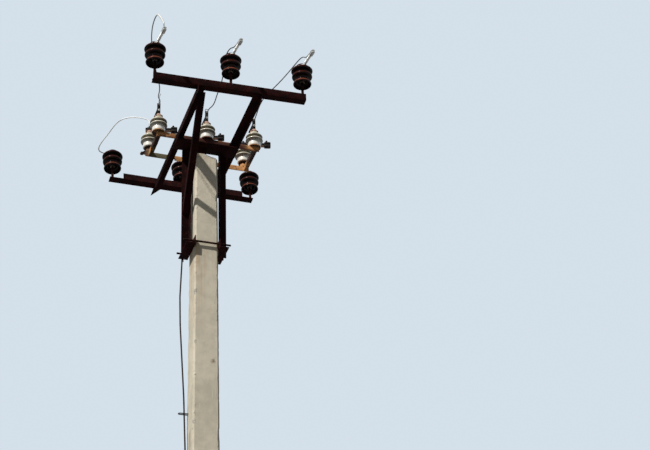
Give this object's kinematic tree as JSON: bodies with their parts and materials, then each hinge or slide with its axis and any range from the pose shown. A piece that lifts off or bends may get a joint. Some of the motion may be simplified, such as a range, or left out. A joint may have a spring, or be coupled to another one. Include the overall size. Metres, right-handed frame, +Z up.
{
  "type": "concrete utility pole",
  "caption": "Tapered concrete utility pole with a steel head of crossarms, pin insulators and a disconnector whose linked columns turn its blades open or closed.",
  "frame": {"origin": "middle of the pole's flat foot, at ground level", "axes": "+Z up the pole, +X along the crossarms, +Y from the near crossarm to the far one"},
  "size_m": [1.4285, 1.8131, 9.588],
  "materials": {
    "concrete": "matte",
    "rusty_angle": "matte",
    "rusty_frame": "matte",
    "brown_glaze": "gloss",
    "white_porcelain": "gloss",
    "dark_steel": "satin",
    "contact_metal": "satin",
    "aluminium_wire": "satin"
  },
  "bodies": {
    "pole": {"chord_left": "rusty_angle", "chord_right": "rusty_angle", "clamp_angle_left": "rusty_angle", "clamp_angle_right": "rusty_angle", "clamp_rod_far": "rusty_angle", "clamp_rod_near": "rusty_angle", "column_bearings": "rusty_frame", "concrete_pole": "concrete", "crossarm_far": "rusty_angle", "crossarm_near": "rusty_angle", "disconnector_frame": "rusty_frame", "earthing_rod": "dark_steel", "earthing_staples": "dark_steel", "fixed_column_feet": "rusty_frame", "fixed_columns": "white_porcelain", "fixed_contact_left": "contact_metal", "fixed_contact_middle": "contact_metal", "fixed_contact_right": "contact_metal", "head_plate": "rusty_angle", "insulator_pins_far": "rusty_angle", "insulator_pins_near": "rusty_angle", "jumper_far_left": "aluminium_wire", "jumper_left": "aluminium_wire", "jumper_middle": "aluminium_wire", "jumper_right": "aluminium_wire", "knee_brace_left": "rusty_angle", "line_tie_left": "aluminium_wire", "line_tie_middle": "aluminium_wire", "line_tie_right": "aluminium_wire", "pin_insulators_far": "brown_glaze", "pin_insulators_near": "brown_glaze", "pole_top_stub": "rusty_angle", "post_left": "rusty_angle", "post_right": "rusty_angle"},
    "left_column": {"column_shaft_left": "dark_steel", "turning_column_left": "white_porcelain", "blade_left": "contact_metal"},
    "middle_column": {"column_shaft_middle": "dark_steel", "turning_column_middle": "white_porcelain", "blade_middle": "contact_metal"},
    "right_column": {"column_shaft_right": "dark_steel", "turning_column_right": "white_porcelain", "blade_right": "contact_metal"},
    "phase_link": {"phase_link": "dark_steel"}
  },
  "joints": [
    {"name": "left_column_turn", "type": "hinge", "parent": "pole", "child": "left_column", "pos_m": [-0.394, 0.2625, 9.0263], "axis": [0, 0, -1], "range_deg": [0, 76]},
    {"name": "middle_column_turn", "type": "hinge", "parent": "pole", "child": "middle_column", "pos_m": [0.008, 0.2625, 9.0263], "axis": [0, 0, -1], "range_deg": [0, 76]},
    {"name": "right_column_turn", "type": "hinge", "parent": "pole", "child": "right_column", "pos_m": [0.41, 0.2625, 9.0263], "axis": [0, 0, -1], "range_deg": [0, 76]},
    {"name": "link_swing", "type": "hinge", "parent": "left_column", "child": "phase_link", "pos_m": [-0.43985, 0.33048, 9.0373], "axis": [0, 0, -1], "range_deg": [-76, 0]}
  ],
  "couplings": [
    {"joint": "middle_column_turn", "follows": "left_column_turn", "ratio": 1},
    {"joint": "right_column_turn", "follows": "left_column_turn", "ratio": 1},
    {"joint": "link_swing", "follows": "left_column_turn", "ratio": -1}
  ]
}
